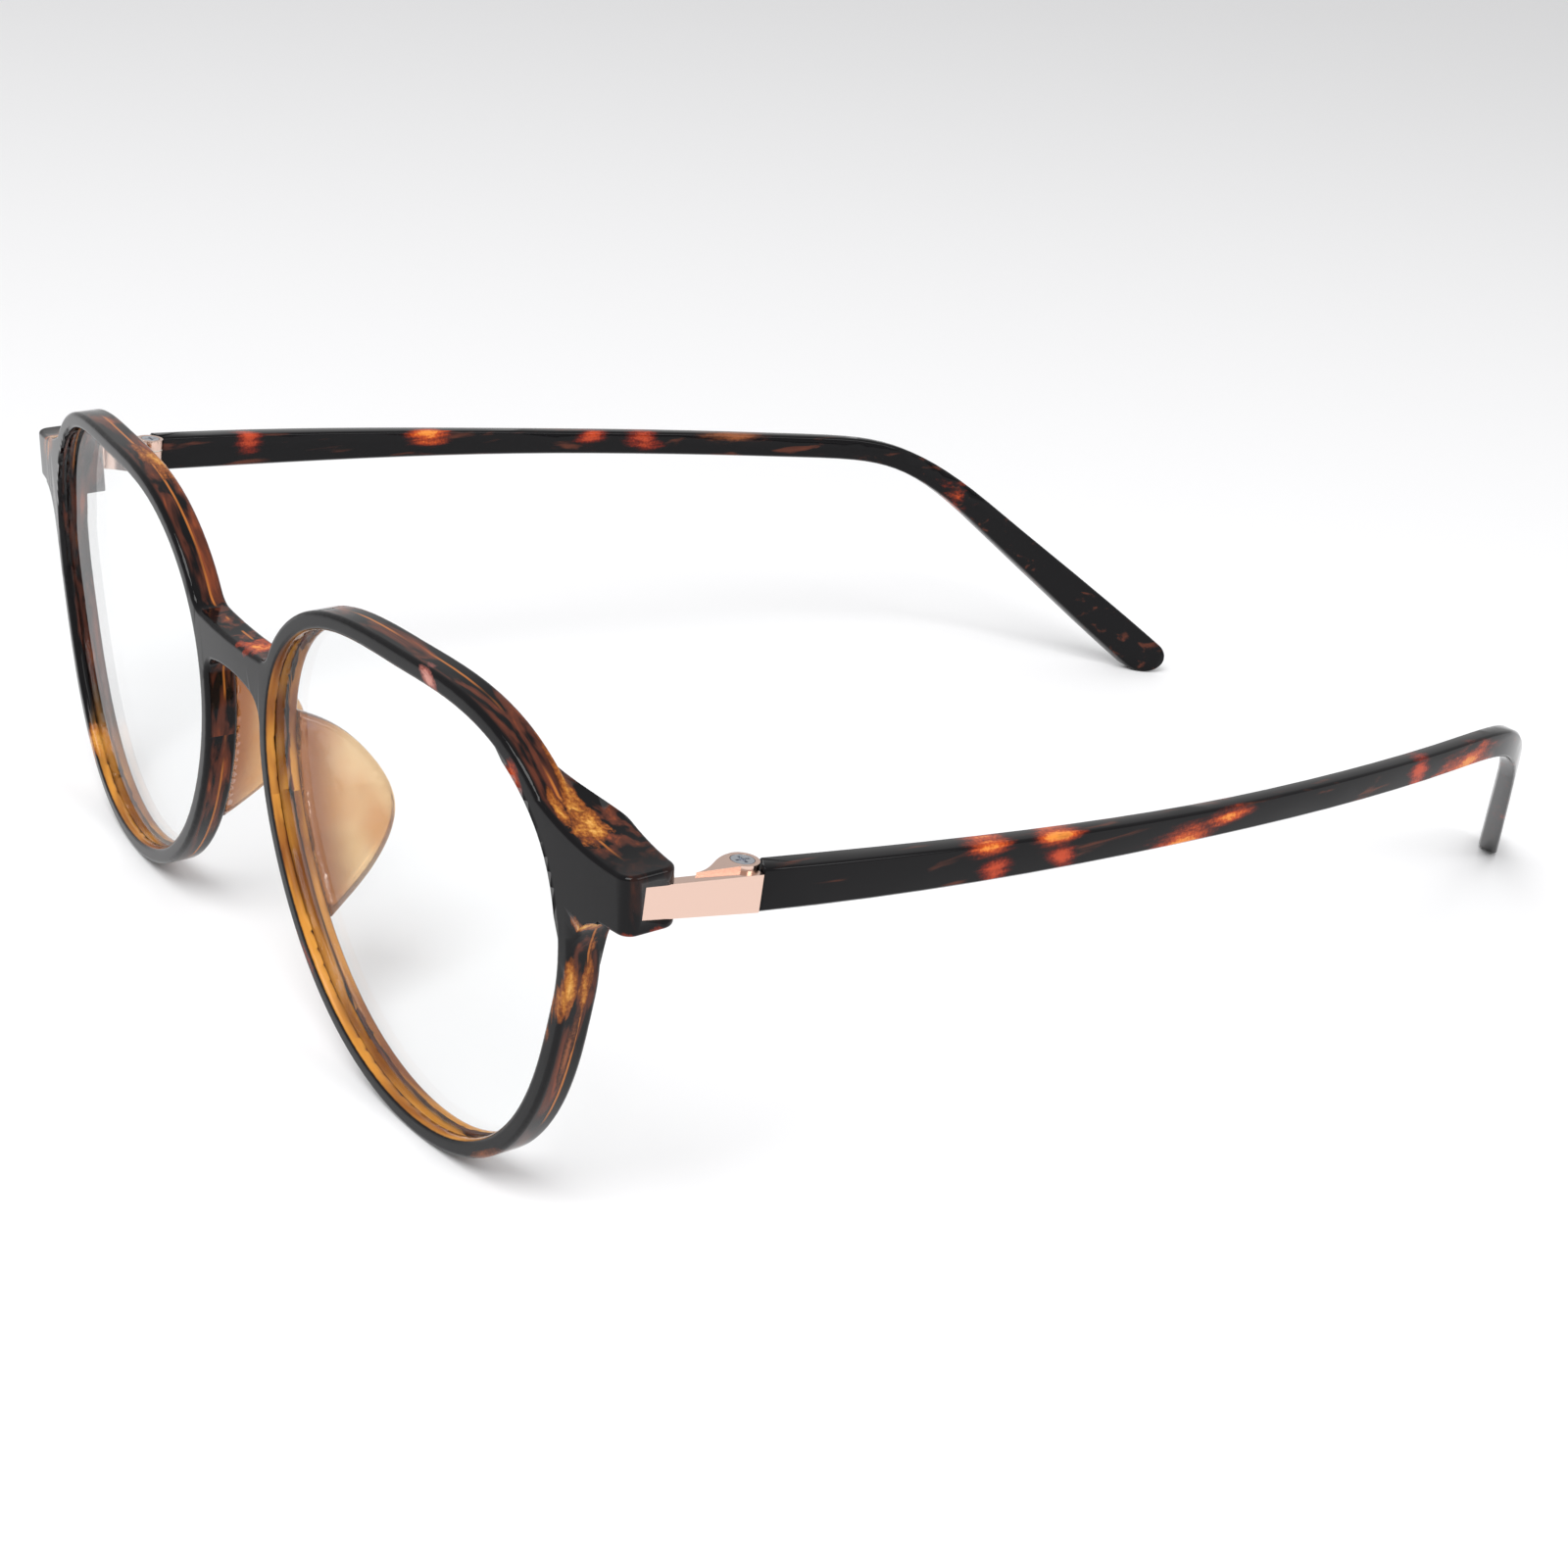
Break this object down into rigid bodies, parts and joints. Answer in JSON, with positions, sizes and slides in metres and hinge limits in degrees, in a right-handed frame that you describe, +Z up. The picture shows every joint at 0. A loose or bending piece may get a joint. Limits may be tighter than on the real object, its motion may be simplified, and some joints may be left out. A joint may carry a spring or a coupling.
{
  "type": "eyeglasses frame",
  "caption": "Round panto eyeglasses frame in tortoise plastic with rose gold metal end pieces, bonded nose pads, clear demo lenses and slim folding temples.",
  "frame": {"origin": "on the table under the middle of the bounding box, with the temples open", "axes": "+Z up from the table, +Y from the front towards the temple tips, +X to the right as seen from the front, which is the wearer's left. Node names say right for the +X side and left for the -X side."},
  "size_m": [0.1306, 0.1518, 0.047],
  "materials": {
    "tortoise_front": "polished tortoise plastic, near black with brown and amber patches",
    "tortoise_temple": "polished tortoise plastic, mostly near black with orange patches",
    "pad_plastic": "translucent honey plastic, smooth",
    "demo_lens": "clear polished demonstration lens",
    "rose_gold": "polished rose gold plating",
    "screw_steel": "bright steel screw",
    "core_wire": "drawn nickel silver wire",
    "nylon": "natural nylon"
  },
  "bodies": {
    "front_body": {"front": "tortoise_front", "demo_lens_right": "demo_lens", "demo_lens_left": "demo_lens", "nose_pad_right": "pad_plastic", "nose_pad_left": "pad_plastic", "end_piece_right": "rose_gold", "end_piece_left": "rose_gold", "hinge_screw_right": "screw_steel", "hinge_screw_left": "screw_steel", "upper_washer_right": "nylon", "upper_washer_left": "nylon", "lower_washer_right": "nylon", "lower_washer_left": "nylon"},
    "right_temple_body": {"temple_right": "tortoise_temple", "temple_hinge_right": "rose_gold", "hinge_bush_right": "nylon", "temple_core_right": "core_wire"},
    "left_temple_body": {"temple_left": "tortoise_temple", "temple_hinge_left": "rose_gold", "hinge_bush_left": "nylon", "temple_core_left": "core_wire"}
  },
  "joints": [
    {"name": "right_temple_fold", "type": "hinge", "parent": "front_body", "child": "right_temple_body", "pos_m": [0.062, -0.05862, 0.03493], "axis": [0, 0.0654, 0.9979], "range_deg": [0, 84]},
    {"name": "left_temple_fold", "type": "hinge", "parent": "front_body", "child": "left_temple_body", "pos_m": [-0.062, -0.05862, 0.03493], "axis": [0, -0.0654, -0.9979], "range_deg": [0, 78]}
  ]
}
